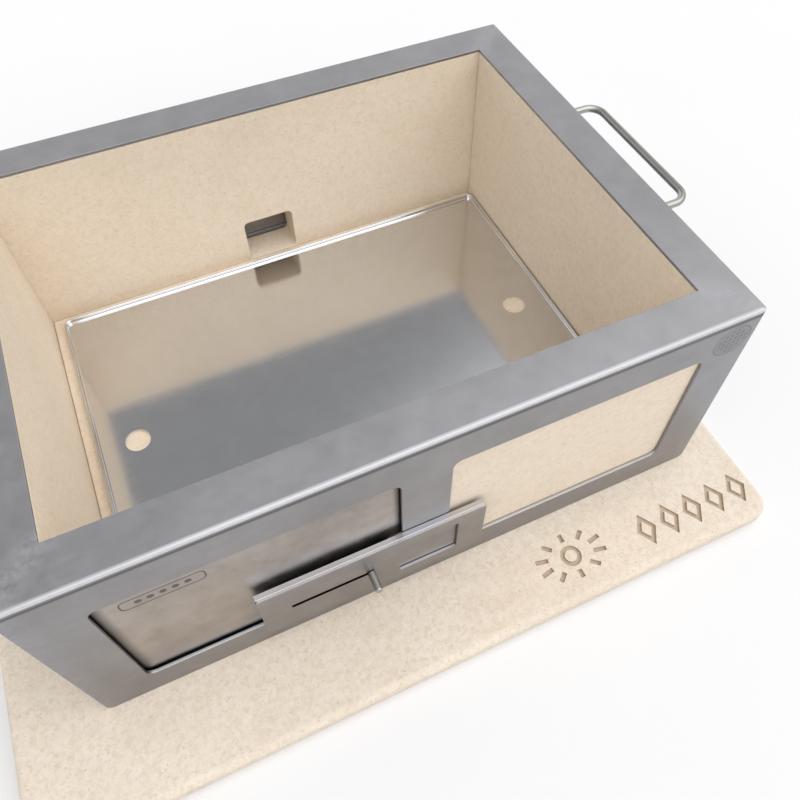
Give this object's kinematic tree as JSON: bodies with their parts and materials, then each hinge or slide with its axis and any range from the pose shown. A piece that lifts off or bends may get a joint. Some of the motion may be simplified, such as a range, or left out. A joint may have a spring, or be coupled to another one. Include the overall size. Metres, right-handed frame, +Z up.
{
  "type": "tabletop charcoal fire box",
  "caption": "Rectangular stainless fire box with stone lining, sliding air shutters, rod handles and a lift-out charcoal tray, standing on a rounded stone base board.",
  "frame": {"origin": "on the table under the middle of the base board", "axes": "+X along the case's long side, -Y towards the front with the windows, +Z up"},
  "size_m": [0.486, 0.398, 0.1718],
  "materials": {
    "case_steel": "satin stainless with faint rolling marks and ground weld corners",
    "regulator_steel": "satin stainless plate with bright cut edges",
    "backing_steel": "satin stainless, cloudy",
    "rod_steel": "drawn stainless rod",
    "tray_steel": "near mirror stainless",
    "liner_stone": "matt cream refractory slab with fine specks",
    "board_stone": "matt cream cast stone with fine specks and honed rounded edges"
  },
  "bodies": {
    "board": {"base_board": "board_stone"},
    "case": {"front_panel": "case_steel", "back_panel": "case_steel", "left_end_panel": "case_steel", "right_end_panel": "case_steel", "bottom_plate": "case_steel", "stone_floor": "liner_stone", "stone_wall_front": "liner_stone", "stone_wall_back": "liner_stone", "stone_wall_left": "liner_stone", "stone_wall_right": "liner_stone", "window_backing_plate": "backing_steel", "front_regulator_plate": "regulator_steel", "front_regulator_top_rail": "regulator_steel", "front_regulator_bottom_rail": "regulator_steel", "back_regulator_plate": "regulator_steel", "back_regulator_top_rail": "regulator_steel", "back_regulator_bottom_rail": "regulator_steel", "left_handle": "rod_steel", "right_handle": "rod_steel"},
    "tray": {"charcoal_tray": "tray_steel"},
    "front_air_shutter": {"front_shutter": "case_steel", "front_shutter_knob": "rod_steel"},
    "back_air_shutter": {"back_shutter": "case_steel", "back_shutter_knob": "rod_steel"}
  },
  "joints": [
    {"name": "case_lift", "type": "slide", "parent": "board", "child": "case", "axis": [0, 0, 1], "range_m": [0, 0.2]},
    {"name": "tray_lift", "type": "slide", "parent": "case", "child": "tray", "axis": [0, 0, 1], "range_m": [0, 0.16]},
    {"name": "front_shutter_slide", "type": "slide", "parent": "case", "child": "front_air_shutter", "axis": [-1, 0, 0], "range_m": [0, 0.046]},
    {"name": "back_shutter_slide", "type": "slide", "parent": "case", "child": "back_air_shutter", "axis": [1, 0, 0], "range_m": [0, 0.046]}
  ]
}
